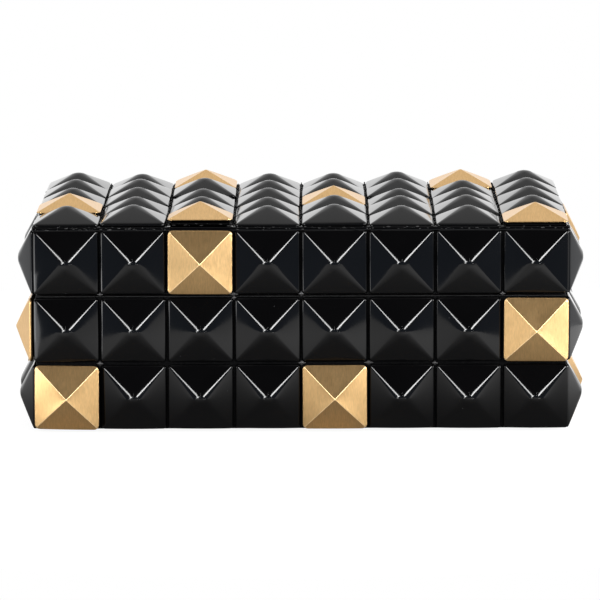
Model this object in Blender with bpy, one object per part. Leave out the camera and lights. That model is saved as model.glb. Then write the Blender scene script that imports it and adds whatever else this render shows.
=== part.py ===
"""Hinged storage box clad in pyramid studs.

A mitred board carcass in two halves, base and lid, is covered on five sides with square pyramid
studs: glossy black ones that are one with their board, and pressed gold caps that are glued into the
grid one by one. Two small stop hinges sit in the groove between the top two rows of studs at the
back. Metres, +Z up, front towards -Y, origin under the middle of the box.
"""

from math import atan2, cos, pi, radians, sin, sqrt, tau

import bmesh
import bpy
from mathutils import Matrix, Vector

# The stud grid
COLUMN_PITCH = 0.0360
ROW_PITCH = 0.0363
COLUMN_GROOVE = 0.0013
ROW_GROOVE = 0.0017
COLUMNS = 8
DEEP_COLUMNS = 5
BASE_ROWS = 2
LID_ROWS = 1

# One black stud: a rim, four slopes with softened ridges and a rounded tip
STUD_RIM = 0.0009
STUD_RISE = 0.0083
STUD_CORNER_RADIUS = 0.0024
STUD_RIDGE_RADIUS = 0.0012
STUD_DOME_RADIUS = 0.0090
CORNER_STEPS = 2

# One gold cap, pressed from sheet, with crisper ridges
CAP_RIM = 0.0012
CAP_RISE = 0.0086
CAP_CORNER_RADIUS = 0.0029
CAP_RIDGE_RADIUS = 0.0003
CAP_DOME_RADIUS = 0.0014
CAP_SHEET = 0.0008

# The scatter of gold caps, each face as seen from outside with its upper row first, and the top with
# its back row first: G is a gold cap, b a black stud.
BASE_SCATTER = {
    "front": ("bbbbbbbG", "GbbbGbbb"),
    "back": ("bbGbbbbb", "bbbbbbGb"),
    "left": ("bbbbG", "bGbbb"),
    "right": ("bbbbb", "bGbbb"),
}
LID_SCATTER = {
    "front": ("bbGbbbbb",),
    "back": ("bbbbbGbb",),
    "left": ("bbbbb",),
    "right": ("bbGbb",),
}
TOP_SCATTER = ("bbGbbbGb", "bbbbbbbb", "bbbbGbbb", "Gbbbbbbb", "bbGbbbbG")

# Boards
WALL_BOARD = 0.0080
FLOOR_BOARD = 0.0060
TOP_BOARD = 0.0080
TOP_LAP = 0.0023
SEAM = 0.0005
GLUE_LINE = 0.0003

# Felt-covered lining cards and pads
LINING_CARD = 0.0016
FLOOR_PAD = 0.0022
LID_PAD = 0.0022
LINING_DROP = 0.0012
LINING_EDGE = 0.0005

# Felt feet
FOOT_RADIUS = 0.0080
FOOT_HEIGHT = 0.0012
FOOT_INSET = 0.0200
FOOT_SIDES = 24

# Stop hinges, in the second column from each end
HINGE_COLUMN = 2
HINGE_LENGTH = 0.0300
HINGE_LEAF = 0.0006
HINGE_LEAF_MARGIN = 0.0014
HINGE_LEAF_GAP = 0.0003
KNUCKLE_RADIUS = 0.0020
KNUCKLE_SIDES = 14
PIN_RADIUS = 0.0007
PIN_HEAD_RADIUS = 0.0013
PIN_HEAD = 0.0006
RUNNING_GAP = 0.0003

# The lug on the lid leaf's knuckle that meets the base leaf when the lid is fully open
OPEN_ANGLE = radians(95)
STOP_LUG_REACH = 0.0007
STOP_LUG = 0.0006
STOP_LUG_GAP = 0.0001

# Countersunk hinge screws
SCREW_RADIUS = 0.0008
SCREW_HEAD_RADIUS = 0.0016
SCREW_LENGTH = 0.0080
SCREW_POINT = 0.0015
SCREW_SPACING = 0.0170
SCREW_SIDES = 10

# How far a cutter runs past the face that it cuts, and the angle up to which round pieces shade smooth
OVERRUN = 0.0010
SMOOTH_ANGLE = radians(40)

# Places that follow from the sizes above
HALF_WIDTH = COLUMNS * COLUMN_PITCH / 2
HALF_DEPTH = DEEP_COLUMNS * COLUMN_PITCH / 2
BASE_BOTTOM = FOOT_HEIGHT + GLUE_LINE
BASE_TOP = BASE_BOTTOM + BASE_ROWS * ROW_PITCH
LID_BOTTOM = BASE_TOP + SEAM
TOP_FACE = LID_BOTTOM + LID_ROWS * ROW_PITCH + GLUE_LINE + TOP_LAP
MITRE_TRIM = GLUE_LINE / sqrt(2)
INNER_X = HALF_WIDTH - WALL_BOARD - GLUE_LINE
INNER_Y = HALF_DEPTH - WALL_BOARD - GLUE_LINE
STUD_SLOPE = atan2(STUD_RISE, (ROW_PITCH - ROW_GROOVE) / 2)

# The hinge pin lies in the V between two rows, as deep as the knuckle's lug lets it
LEAF_NEAR = HINGE_LEAF_GAP / 2
LEAF_FAR = LEAF_NEAR + HINGE_LEAF
LUG_TIP = KNUCKLE_RADIUS + STOP_LUG_REACH
LUG_NEAR = LEAF_FAR + STOP_LUG_GAP
LUG_SWEEP = sqrt(LUG_TIP**2 + (LUG_NEAR + STOP_LUG) ** 2)
GROOVE_DEPTH_SAVED = (SEAM + ROW_GROOVE) / 2 * sin(STUD_SLOPE)
HINGE_STANDOFF = STUD_RIM + (LUG_SWEEP + RUNNING_GAP - GROOVE_DEPTH_SAVED) / cos(STUD_SLOPE)
HINGE_AXIS = Vector((0, HALF_DEPTH + HINGE_STANDOFF, (BASE_TOP + LID_BOTTOM) / 2))
HINGE_X = HALF_WIDTH - HINGE_COLUMN * COLUMN_PITCH + COLUMN_PITCH / 2
LEAF_INNER_EDGE = HINGE_STANDOFF + WALL_BOARD - HINGE_LEAF_MARGIN
LEAF_OUTER_EDGE = KNUCKLE_RADIUS + RUNNING_GAP
SCREW_Y = -(HINGE_STANDOFF + (WALL_BOARD - HINGE_LEAF_MARGIN) / 2)
BORE_RADIUS = PIN_RADIUS + RUNNING_GAP

# Each side wall's own axes: u along it to the right as seen from outside, v up, w out of it
RIGHT, BACK, UP = Vector((1, 0, 0)), Vector((0, 1, 0)), Vector((0, 0, 1))
WALL_AXES = {
    "front": (RIGHT, UP, -BACK),
    "back": (-RIGHT, UP, BACK),
    "left": (-BACK, UP, -RIGHT),
    "right": (BACK, UP, RIGHT),
}


def clear_scene():
    for obj in list(bpy.data.objects):
        bpy.data.objects.remove(obj, do_unlink=True)


def material(name, colour, roughness, metallic):
    made = bpy.data.materials.new(name)
    made.use_nodes = True
    shader = made.node_tree.nodes["Principled BSDF"]
    shader.inputs["Base Color"].default_value = (*colour, 1)
    shader.inputs["Roughness"].default_value = roughness
    shader.inputs["Metallic"].default_value = metallic
    return made


def empty(name, place):
    made = bpy.data.objects.new(name, None)
    made.location = place
    bpy.context.scene.collection.objects.link(made)
    return made


def solid(name, mesh_data, frame, place, finish=None, turn=None):
    """One piece, at a place and turn in the box, parented to the empty that carries it."""
    mesh = bpy.data.meshes.new(name)
    bmesh.ops.recalc_face_normals(mesh_data, faces=mesh_data.faces)
    if mesh_data.calc_volume(signed=True) < 0:
        bmesh.ops.reverse_faces(mesh_data, faces=mesh_data.faces)
    mesh_data.to_mesh(mesh)
    mesh_data.free()
    obj = bpy.data.objects.new(name, mesh)
    if finish:
        mesh.materials.append(finish)
    bpy.context.scene.collection.objects.link(obj)
    obj.parent = frame
    obj.location = Vector(place) - frame.location
    if turn:
        obj.rotation_euler = turn.to_euler()
    return obj


def combine(target, operation, helper):
    """Cuts a helper solid out of a piece, or joins it on."""
    helper.hide_render = True
    helper.display_type = "WIRE"
    modifier = target.modifiers.new(helper.name, "BOOLEAN")
    modifier.operation = operation
    modifier.solver = "EXACT"
    modifier.object = helper


def round_edges(obj, radius):
    bevel = obj.modifiers.new("rounded_edges", "BEVEL")
    bevel.width = radius
    bevel.segments = 1
    bevel.limit_method = "ANGLE"


def shade_round(obj):
    obj.data.shade_smooth()
    obj.data.set_sharp_from_angle(angle=SMOOTH_ANGLE)


def box_mesh(low, high):
    made = bmesh.new()
    centre = (Vector(low) + Vector(high)) / 2
    size = Vector(high) - Vector(low)
    bmesh.ops.create_cube(made, size=1, matrix=Matrix.Translation(centre) @ Matrix.Diagonal((*size, 1)))
    return made


def turned_mesh(profile, sides, axis):
    """A solid turned about an axis through the origin, from (distance along it, radius) points."""
    made = bmesh.new()
    to_axis = UP.rotation_difference(axis).to_matrix()
    rings = []
    angles = [tau * step / sides for step in range(sides)]
    for along, radius in profile:
        points = [Vector((radius * cos(angle), radius * sin(angle), along)) for angle in angles]
        rings.append([made.verts.new(to_axis @ point) for point in points])
    for lower, upper in zip(rings, rings[1:]):
        bridge(made, lower, upper)
    made.faces.new(rings[0])
    made.faces.new(rings[-1])
    return made


def bridge(mesh_data, first, second):
    """A band of quads between two loops of equally many points."""
    for i in range(len(first)):
        j = (i + 1) % len(first)
        mesh_data.faces.new((first[i], first[j], second[j], second[i]))


def fan(mesh_data, loop, tip):
    for i, vert in enumerate(loop):
        mesh_data.faces.new((vert, loop[(i + 1) % len(loop)], tip))


# Pyramid studs


def rounded_outline(half_u, half_v, radius):
    """A rectangle with rounded corners, anticlockwise from the corner at low u and low v."""
    points = []
    for side_u, side_v, start in ((-1, -1, pi), (1, -1, 1.5 * pi), (1, 1, 0), (-1, 1, 0.5 * pi)):
        centre_u = side_u * (half_u - radius)
        centre_v = side_v * (half_v - radius)
        for step in range(CORNER_STEPS + 1):
            angle = start + 0.5 * pi * step / CORNER_STEPS
            points.append((centre_u + radius * cos(angle), centre_v + radius * sin(angle)))
    return points


def pyramid_levels(halves, rim, rise, corner, ridge, dome, dome_shares):
    """A stud's outlines from its foot to where its rounded tip starts and beyond, and the tip's height.

    dome_shares says at which shares of the slope's angle the tip's ball is drawn.
    """
    slope = atan2(rise, (halves[0] + halves[1]) / 2)
    ball_centre = rim + rise - dome / cos(slope)
    foot = rounded_outline(*halves, corner)
    levels = [(foot, 0), (foot, rim)]
    for share in dome_shares:
        reach = dome * sin(slope * share)
        height = ball_centre + dome * cos(slope * share)
        levels.append((rounded_outline(reach, reach, min(ridge, reach / 2)), height))
    return levels, ball_centre + dome


def raised_rings(mesh_data, levels, centre):
    rings = []
    for outline, height in levels:
        rings.append([mesh_data.verts.new((centre[0] + u, centre[1] + v, height)) for u, v in outline])
    for lower, upper in zip(rings, rings[1:]):
        bridge(mesh_data, lower, upper)
    return rings


def frame_face(mesh_data, corners, outline):
    """Fills the flat ring between a rectangle's 4 corners and a rounded outline."""
    per_corner = CORNER_STEPS + 1
    for i, corner in enumerate(corners):
        arc = outline[i * per_corner : (i + 1) * per_corner]
        for first, second in zip(arc, arc[1:]):
            mesh_data.faces.new((corner, first, second))
        next_start = outline[(i + 1) * per_corner % len(outline)]
        mesh_data.faces.new((corner, arc[-1], next_start, corners[(i + 1) % 4]))


def raise_black_stud(mesh_data, corners, centre, halves):
    """A black stud on the cell between 4 corners of its board."""
    levels, tip = pyramid_levels(
        halves, STUD_RIM, STUD_RISE, STUD_CORNER_RADIUS, STUD_RIDGE_RADIUS, STUD_DOME_RADIUS, (1, 0.5)
    )
    rings = raised_rings(mesh_data, levels, centre)
    frame_face(mesh_data, corners, rings[0])
    fan(mesh_data, rings[-1], mesh_data.verts.new((*centre, tip)))


def gold_cap_mesh(halves):
    """A hollow pyramid of pressed sheet, open underneath, with a short rim."""
    made = bmesh.new()
    levels, tip = pyramid_levels(
        halves, CAP_RIM, CAP_RISE, CAP_CORNER_RADIUS, CAP_RIDGE_RADIUS, CAP_DOME_RADIUS, (1,)
    )
    rings = raised_rings(made, levels, (0, 0))
    fan(made, rings[-1], made.verts.new((0, 0, tip)))
    slope = atan2(CAP_RISE, (halves[0] + halves[1]) / 2)
    inner_u, inner_v = halves[0] - CAP_SHEET, halves[1] - CAP_SHEET
    inner_tip = CAP_RIM + CAP_RISE - CAP_SHEET / cos(slope)
    inner_rim = inner_tip - CAP_RISE * inner_u / halves[0]
    signs = ((-1, -1), (1, -1), (1, 1), (-1, 1))
    mouth = [made.verts.new((side_u * inner_u, side_v * inner_v, 0)) for side_u, side_v in signs]
    neck = [made.verts.new((side_u * inner_u, side_v * inner_v, inner_rim)) for side_u, side_v in signs]
    frame_face(made, mouth, rings[0])
    bridge(made, mouth, neck)
    fan(made, neck, made.verts.new((0, 0, inner_tip)))
    return made


# Boards with a field of studs


class StudGrid:
    """The cells of one board's face, seen from outside, with its origin in the middle.

    Columns are counted from 1 at the left, and rows from 1 at the bottom, or at the front on the top.
    """

    def __init__(self, columns, rows, row_pitch, row_groove, scatter):
        self.columns = columns
        self.rows = rows
        self.pitch = (COLUMN_PITCH, row_pitch)
        self.half_u = columns * COLUMN_PITCH / 2
        self.half_v = rows * row_pitch / 2
        self.stud_halves = ((COLUMN_PITCH - COLUMN_GROOVE) / 2, (row_pitch - row_groove) / 2)
        self.caps = []
        for row, line in enumerate(reversed(scatter), 1):
            self.caps += [(column, row) for column, stud in enumerate(line, 1) if stud == "G"]

    def centre(self, column, row):
        u = (column - (self.columns + 1) / 2) * self.pitch[0]
        v = (row - (self.rows + 1) / 2) * self.pitch[1]
        return u, v

    def board_mesh(self, trim_u, backs):
        """The board: its studded face at w = 0 and its back, drawn in step by step.

        trim_u shortens the face's two ends. backs lists (w, half size in u, half size in v).
        """
        made = bmesh.new()
        limit_u = self.half_u - trim_u
        lines_u = [i * self.pitch[0] - self.half_u for i in range(self.columns + 1)]
        lines_u = [max(-limit_u, min(limit_u, u)) for u in lines_u]
        lines_v = [j * self.pitch[1] - self.half_v for j in range(self.rows + 1)]
        grid = [[made.verts.new((u, v, 0)) for v in lines_v] for u in lines_u]
        for i in range(self.columns):
            for j in range(self.rows):
                corners = (grid[i][j], grid[i + 1][j], grid[i + 1][j + 1], grid[i][j + 1])
                if (i + 1, j + 1) in self.caps:
                    made.faces.new(corners)
                else:
                    raise_black_stud(made, corners, self.centre(i + 1, j + 1), self.stud_halves)
        edge = [column[0] for column in grid[:-1]] + grid[-1][:-1]
        edge += [column[-1] for column in grid[:0:-1]] + grid[0][:0:-1]
        for w, back_u, back_v in backs:
            drawn_in = []
            for vert in edge:
                u = max(-back_u, min(back_u, vert.co.x))
                v = max(-back_v, min(back_v, vert.co.y))
                drawn_in.append(made.verts.new((u, v, w)))
            bridge(made, edge, drawn_in)
            edge = drawn_in
        made.faces.new(edge)
        return made

    def add_caps(self, name, place, turn, finish, frame):
        for column, row in self.caps:
            seat = Vector(place) + turn @ Vector((*self.centre(column, row), GLUE_LINE))
            cap_name = f"gold_cap_{name}_c{column}_r{row}"
            solid(cap_name, gold_cap_mesh(self.stud_halves), frame, seat, finish, turn)


def stud_wall(side, half, rows, bottom, scatter, finishes, frame):
    """One wall of the base or the lid, mitred at both ends, with its gold caps."""
    end_wall = side in ("left", "right")
    grid = StudGrid(DEEP_COLUMNS if end_wall else COLUMNS, rows, ROW_PITCH, ROW_GROOVE, scatter)
    turn = Matrix(WALL_AXES[side]).transposed()
    reach = HALF_WIDTH if end_wall else HALF_DEPTH
    place = turn @ Vector((0, 0, reach)) + Vector((0, 0, bottom + grid.half_v))
    inner_half = grid.half_u - MITRE_TRIM - WALL_BOARD
    mesh_data = grid.board_mesh(MITRE_TRIM, [(-WALL_BOARD, inner_half, grid.half_v)])
    wall = solid(f"{half}_{side}_wall", mesh_data, frame, place, finishes["black"], turn)
    grid.add_caps(f"{half}_{side}", place, turn, finishes["gold"], frame)
    return wall


def top_board(finishes, frame):
    """The lid's top laps over the walls' upper edges and fills the space inside them."""
    grid = StudGrid(COLUMNS, DEEP_COLUMNS, COLUMN_PITCH, COLUMN_GROOVE, TOP_SCATTER)
    lap = (-TOP_LAP, HALF_WIDTH, HALF_DEPTH)
    rabbet = (-TOP_LAP, INNER_X, INNER_Y)
    underside = (-TOP_BOARD, INNER_X, INNER_Y)
    place = Vector((0, 0, TOP_FACE))
    turn = Matrix.Identity(3)
    solid("lid_top_board", grid.board_mesh(0, [lap, rabbet, underside]), frame, place, finishes["black"])
    grid.add_caps("lid_top", place, turn, finishes["gold"], frame)


def floor_board(finish, frame):
    corner = (-INNER_X, -INNER_Y, BASE_BOTTOM)
    opposite = (INNER_X, INNER_Y, BASE_BOTTOM + FLOOR_BOARD)
    solid("base_floor_board", box_mesh(corner, opposite), frame, (0, 0, 0), finish)


# Lining


def lining_piece(name, corner, opposite, finish, frame):
    piece = solid(name, box_mesh(corner, opposite), frame, (0, 0, 0), finish)
    round_edges(piece, LINING_EDGE)


def lining(half, pad_name, pad_low, pad_high, low, high, finish, frame):
    """Four cards against the walls, the short ones between the long ones, and a pad between them all."""
    card_x = INNER_X - LINING_CARD
    card_y = INNER_Y - LINING_CARD
    pad_x = card_x - GLUE_LINE
    pad_y = card_y - GLUE_LINE
    corners = {
        "front": ((-INNER_X, -INNER_Y, low), (INNER_X, -card_y, high)),
        "back": ((-INNER_X, card_y, low), (INNER_X, INNER_Y, high)),
        "left": ((-INNER_X, -pad_y, low), (-card_x, pad_y, high)),
        "right": ((card_x, -pad_y, low), (INNER_X, pad_y, high)),
    }
    for side, (corner, opposite) in corners.items():
        lining_piece(f"{half}_{side}_lining", corner, opposite, finish, frame)
    lining_piece(pad_name, (-pad_x, -pad_y, pad_low), (pad_x, pad_y, pad_high), finish, frame)


def base_lining(finish, frame):
    low = BASE_BOTTOM + FLOOR_BOARD + GLUE_LINE
    high = BASE_TOP - LINING_DROP
    lining("base", "base_floor_pad", low, low + FLOOR_PAD, low, high, finish, frame)


def lid_lining(finish, frame):
    low = LID_BOTTOM + LINING_DROP
    high = TOP_FACE - TOP_BOARD - GLUE_LINE
    lining("lid", "lid_top_pad", high - LID_PAD, high, low, high, finish, frame)


def feet(finish, frame):
    for end, x in (("left", FOOT_INSET - HALF_WIDTH), ("right", HALF_WIDTH - FOOT_INSET)):
        for side, y in (("front", FOOT_INSET - HALF_DEPTH), ("back", HALF_DEPTH - FOOT_INSET)):
            disc = turned_mesh(((0, FOOT_RADIUS), (FOOT_HEIGHT, FOOT_RADIUS)), FOOT_SIDES, UP)
            shade_round(solid(f"{side}_{end}_foot", disc, frame, (x, y, 0), finish))


# Hinges. A hinge's own frame has x along the pin, y outwards and z up, with its origin on the pin.
# sign is 1 for the lid's leaf and -1 for the base's, which lies mirrored below it.


def stop_lug_mesh(spans):
    """A lug that lies flat against the underside of the base's leaf when the lid is open."""
    start, end = spans[0]
    inner = (KNUCKLE_RADIUS + BORE_RADIUS) / 2
    lug = box_mesh((start, -LUG_TIP, -LUG_NEAR - STOP_LUG), (end, -inner, -LUG_NEAR))
    bmesh.ops.rotate(lug, verts=lug.verts, cent=(0, 0, 0), matrix=Matrix.Rotation(OPEN_ANGLE, 3, "X"))
    return lug


def hinge_leaf(name, sign, spans, finish, frame, axis):
    """A leaf let into the wall's edge, its knuckles, and a strap from the leaf to each knuckle."""
    half = HINGE_LENGTH / 2
    low, high = sorted((sign * LEAF_NEAR, sign * LEAF_FAR))
    plate = box_mesh((-half, -LEAF_INNER_EDGE, low), (half, -LEAF_OUTER_EDGE, high))
    leaf = solid(name, plate, frame, axis, finish)
    joined = []
    for start, end in spans:
        strap_end = -(KNUCKLE_RADIUS + BORE_RADIUS) / 2
        joined.append(box_mesh((start, -LEAF_OUTER_EDGE - HINGE_LEAF, low), (end, strap_end, high)))
        joined.append(turned_mesh(((start, KNUCKLE_RADIUS), (end, KNUCKLE_RADIUS)), KNUCKLE_SIDES, RIGHT))
    if sign > 0:
        joined.append(stop_lug_mesh(spans))
    for i, mesh_data in enumerate(joined):
        combine(leaf, "UNION", solid(f"{name}_joined_{i}", mesh_data, frame, axis))
    bore_end = half + OVERRUN
    bore = turned_mesh(((-bore_end, BORE_RADIUS), (bore_end, BORE_RADIUS)), SCREW_SIDES, RIGHT)
    combine(leaf, "DIFFERENCE", solid(f"{name}_bore", bore, frame, axis))
    return leaf


def let_in_leaf(name, sign, wall, frame, axis):
    """Cuts the shallow recess for a leaf into the wall's edge."""
    half = HINGE_LENGTH / 2 + RUNNING_GAP
    low, high = sorted((0, sign * (LEAF_FAR + RUNNING_GAP)))
    recess = box_mesh((-half, -LEAF_INNER_EDGE - RUNNING_GAP, low), (half, 0, high))
    combine(wall, "DIFFERENCE", solid(f"{name}_recess", recess, frame, axis))


def hinge_screw(name, sign, leaf, wall, finish, frame, place):
    """A countersunk screw through the leaf into the wall, with its holes in both."""
    screw = (
        (sign * LEAF_NEAR, SCREW_HEAD_RADIUS),
        (sign * LEAF_FAR, SCREW_RADIUS),
        (sign * (SCREW_LENGTH - SCREW_POINT), SCREW_RADIUS),
        (sign * SCREW_LENGTH, SCREW_RADIUS / 3),
    )
    shade_round(solid(name, turned_mesh(screw, SCREW_SIDES, UP), frame, place, finish))
    wide = SCREW_HEAD_RADIUS + RUNNING_GAP
    narrow = SCREW_RADIUS + RUNNING_GAP
    taper = (wide - narrow) / HINGE_LEAF
    hole_end = sign * (SCREW_LENGTH + RUNNING_GAP)
    countersink = (
        (sign * (LEAF_NEAR - OVERRUN), wide + taper * OVERRUN),
        (sign * LEAF_FAR, narrow),
        (hole_end, narrow),
    )
    pilot = ((0, narrow), (hole_end, narrow))
    cutter = solid(f"{name}_countersink", turned_mesh(countersink, SCREW_SIDES, UP), frame, place)
    combine(leaf, "DIFFERENCE", cutter)
    combine(wall, "DIFFERENCE", solid(f"{name}_pilot", turned_mesh(pilot, SCREW_SIDES, UP), frame, place))


def hinge_pin(name, finish, frame, axis):
    neck = HINGE_LENGTH / 2 + RUNNING_GAP
    profile = (
        (-neck - PIN_HEAD, PIN_HEAD_RADIUS),
        (-neck, PIN_HEAD_RADIUS),
        (-neck, PIN_RADIUS),
        (neck, PIN_RADIUS),
        (neck, PIN_HEAD_RADIUS),
        (neck + PIN_HEAD, PIN_HEAD_RADIUS),
    )
    shade_round(solid(name, turned_mesh(profile, SCREW_SIDES, RIGHT), frame, axis, finish))


def hinge(end, centre_x, finish, frames, walls):
    axis = HINGE_AXIS + RIGHT * centre_x
    half = HINGE_LENGTH / 2
    knuckle_end = HINGE_LENGTH / 6
    gap = RUNNING_GAP / 2
    spans = {
        "base": ((-half, -knuckle_end - gap), (knuckle_end + gap, half)),
        "lid": ((-knuckle_end + gap, knuckle_end - gap),),
    }
    for half_name, sign in (("base", -1), ("lid", 1)):
        frame = frames[half_name]
        leaf_name = f"{end}_hinge_{half_name}_leaf"
        leaf = hinge_leaf(leaf_name, sign, spans[half_name], finish, frame, axis)
        let_in_leaf(leaf_name, sign, walls[half_name], frame, axis)
        for number, x in enumerate((-SCREW_SPACING / 2, SCREW_SPACING / 2), 1):
            place = axis + Vector((x, SCREW_Y, 0))
            screw_name = f"{end}_{half_name}_screw_{number}"
            hinge_screw(screw_name, sign, leaf, walls[half_name], finish, frame, place)
    hinge_pin(f"{end}_hinge_pin", finish, frames["base"], axis)


def build():
    clear_scene()
    finishes = {
        "black": material("black_lacquer", (0.008, 0.008, 0.009), 0.12, 0),
        "gold": material("brushed_gold", (0.60, 0.42, 0.20), 0.32, 1),
        "brass": material("brass", (0.62, 0.47, 0.24), 0.25, 1),
        "board": material("black_painted_board", (0.012, 0.012, 0.012), 0.5, 0),
        "felt": material("black_felt", (0.010, 0.010, 0.011), 0.95, 0),
    }
    frames = {"base": empty("base_frame", (0, 0, 0)), "lid": empty("lid_hinge_axis", HINGE_AXIS)}
    back_walls = {}
    for side in WALL_AXES:
        for half, rows, bottom, scatter in (
            ("base", BASE_ROWS, BASE_BOTTOM, BASE_SCATTER),
            ("lid", LID_ROWS, LID_BOTTOM, LID_SCATTER),
        ):
            wall = stud_wall(side, half, rows, bottom, scatter[side], finishes, frames[half])
            if side == "back":
                back_walls[half] = wall
    top_board(finishes, frames["lid"])
    floor_board(finishes["board"], frames["base"])
    base_lining(finishes["felt"], frames["base"])
    lid_lining(finishes["felt"], frames["lid"])
    feet(finishes["felt"], frames["base"])
    hinge("left", -HINGE_X, finishes["brass"], frames, back_walls)
    hinge("right", HINGE_X, finishes["brass"], frames, back_walls)


build()
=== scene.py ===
"""A hinged storage box clad in black lacquered pyramid studs, with pressed gold caps among them."""

import math
import random

import bmesh
import bpy
from mathutils import Matrix, Vector, noise


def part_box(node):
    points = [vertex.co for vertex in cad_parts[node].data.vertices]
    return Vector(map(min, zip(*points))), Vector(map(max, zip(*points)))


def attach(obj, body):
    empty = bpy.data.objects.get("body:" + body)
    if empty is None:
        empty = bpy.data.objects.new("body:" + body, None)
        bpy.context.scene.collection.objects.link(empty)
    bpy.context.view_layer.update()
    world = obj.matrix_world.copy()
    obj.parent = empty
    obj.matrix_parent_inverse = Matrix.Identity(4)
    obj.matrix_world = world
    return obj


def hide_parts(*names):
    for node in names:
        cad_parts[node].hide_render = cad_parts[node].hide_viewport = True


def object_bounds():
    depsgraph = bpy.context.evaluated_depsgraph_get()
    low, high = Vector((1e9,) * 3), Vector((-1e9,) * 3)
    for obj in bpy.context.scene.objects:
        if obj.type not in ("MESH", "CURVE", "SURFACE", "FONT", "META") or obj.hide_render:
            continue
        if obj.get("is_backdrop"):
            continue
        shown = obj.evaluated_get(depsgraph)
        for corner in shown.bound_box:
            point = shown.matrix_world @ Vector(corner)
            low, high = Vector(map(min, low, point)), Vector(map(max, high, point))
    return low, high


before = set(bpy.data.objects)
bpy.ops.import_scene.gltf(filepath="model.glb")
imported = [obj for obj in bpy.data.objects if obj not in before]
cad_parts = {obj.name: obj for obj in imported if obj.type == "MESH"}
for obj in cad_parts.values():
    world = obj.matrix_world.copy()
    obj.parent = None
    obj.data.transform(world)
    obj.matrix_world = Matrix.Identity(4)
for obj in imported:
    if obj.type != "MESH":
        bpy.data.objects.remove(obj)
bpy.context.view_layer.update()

# The view
# The box stands square on a white table, seen from far off with a long lens and from a little above,
# so that the front shows flat and the top as a narrow band of pyramids.

eye = Vector((0.00705, -2.75449, 0.47509))
# Turned a trace to the left, tilted down and leaning a trace to one side
yaw, pitch, roll = (math.radians(angle) for angle in (-0.16314, 8.60014, -0.19686))
ahead = Vector((math.sin(yaw) * math.cos(pitch), math.cos(yaw) * math.cos(pitch), -math.sin(pitch)))
level = Vector((math.cos(yaw), -math.sin(yaw), 0))
above = level.cross(ahead)
right = math.cos(roll) * level + math.sin(roll) * above
upright = -math.sin(roll) * level + math.cos(roll) * above
camera = bpy.data.objects.new("camera", bpy.data.cameras.new("camera"))
camera.data.lens = 301.77
camera.data.sensor_width = 36
camera.matrix_world = Matrix.Translation(eye) @ Matrix((right, upright, -ahead)).transposed().to_4x4()
bpy.context.scene.collection.objects.link(camera)
bpy.context.scene.camera = camera
bpy.context.scene.view_settings.view_transform = "Standard"

# The table and the light
# A round white table top in a white room whose front wall and ceiling are left unlit, so that the
# lacquer mirrors deep black. Two slim softboxes draw the bright lines on its ridges, a low one widens
# the left lines at their ends, and weaker panels round the box and above it light the gold.


def node(tree, kind, inputs=(), **settings):
    """Adds a node with its properties, and sets or links its inputs, as {socket: value or output}."""
    made = tree.nodes.new(kind)
    for name, value in settings.items():
        setattr(made, name, value)
    for name, value in dict(inputs).items():
        socket = made.inputs[name]
        if isinstance(value, bpy.types.NodeSocket):
            tree.links.new(value, socket)
        else:
            socket.default_value = value
    return made


def math_of(tree, operation, first, second=0.0):
    return node(tree, "ShaderNodeMath", {0: first, 1: second}, operation=operation).outputs[0]


def total(tree, first, second):
    return math_of(tree, "ADD", first, second)


def product(tree, first, second):
    return math_of(tree, "MULTIPLY", first, second)


def rest_of(tree, share):
    return math_of(tree, "SUBTRACT", 1.0, share)


def step_between(tree, value, start, end):
    """0 before start, 1 after end and a soft slope between them."""
    reach = {"Value": value, "From Min": start, "From Max": end}
    return node(tree, "ShaderNodeMapRange", reach, interpolation_type="SMOOTHSTEP").outputs[0]


def value_between(tree, factor, low, high):
    return node(tree, "ShaderNodeMapRange", {"Value": factor, "To Min": low, "To Max": high}).outputs[0]


def tint(tree, factor, first, second):
    """A colour between two others, each plain or an output, by a factor from 0 to 1."""
    inputs = {"Factor": factor}
    for side, colour in (("A", first), ("B", second)):
        inputs[side] = (*colour, 1) if isinstance(colour, tuple) else colour
    return node(tree, "ShaderNodeMix", inputs, data_type="RGBA").outputs["Result"]


def kinds_of_ray(tree):
    """1 for a ray from the camera, and 1 for a mirrored or refracted one."""
    ray = node(tree, "ShaderNodeLightPath").outputs
    return ray["Is Camera Ray"], total(tree, ray["Is Glossy Ray"], ray["Is Transmission Ray"])


room = bpy.data.worlds.new("white_room")
bpy.context.scene.world = room
room.use_nodes = True
tree = room.node_tree
tree.nodes.clear()
straight, mirrored = kinds_of_ray(tree)
# Where in the room: X runs to the right, Y to the back wall and Z up, each from -1 to 1
direction = node(tree, "ShaderNodeTexCoord").outputs["Generated"]
where = node(tree, "ShaderNodeSeparateXYZ", {"Vector": direction}).outputs
# The lit back wall, darker below the table
below_table = step_between(tree, where["Z"], -0.03, -0.14)
ceiling = step_between(tree, where["Z"], 0.40, 0.85)
shade = total(tree, product(tree, below_table, 0.42), product(tree, ceiling, 0.04))
back_wall = product(tree, step_between(tree, where["Y"], 0.05, 0.45), rest_of(tree, shade))
# A lit band round the back and both sides, which only the box's own gloss sees
above_floor = step_between(tree, where["Z"], -0.26, -0.16)
below_ceiling = rest_of(tree, step_between(tree, where["Z"], 0.20, 0.40))
band = product(tree, above_floor, below_ceiling)
band = product(tree, step_between(tree, where["Y"], -0.47, -0.33), band)
flank = step_between(tree, math_of(tree, "ABSOLUTE", where["X"]), 0.55, 0.85)
flank = product(tree, flank, step_between(tree, where["Y"], 0.10, 0.40))
band = product(tree, band, value_between(tree, flank, 1.0, 0.72))
lit = math_of(tree, "MAXIMUM", back_wall, product(tree, band, mirrored))
lit = math_of(tree, "MAXIMUM", lit, straight)
unlit = tint(tree, step_between(tree, where["Z"], 0.0, 0.3), (0.240, 0.290, 0.370), (0.060, 0.060, 0.064))
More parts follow.
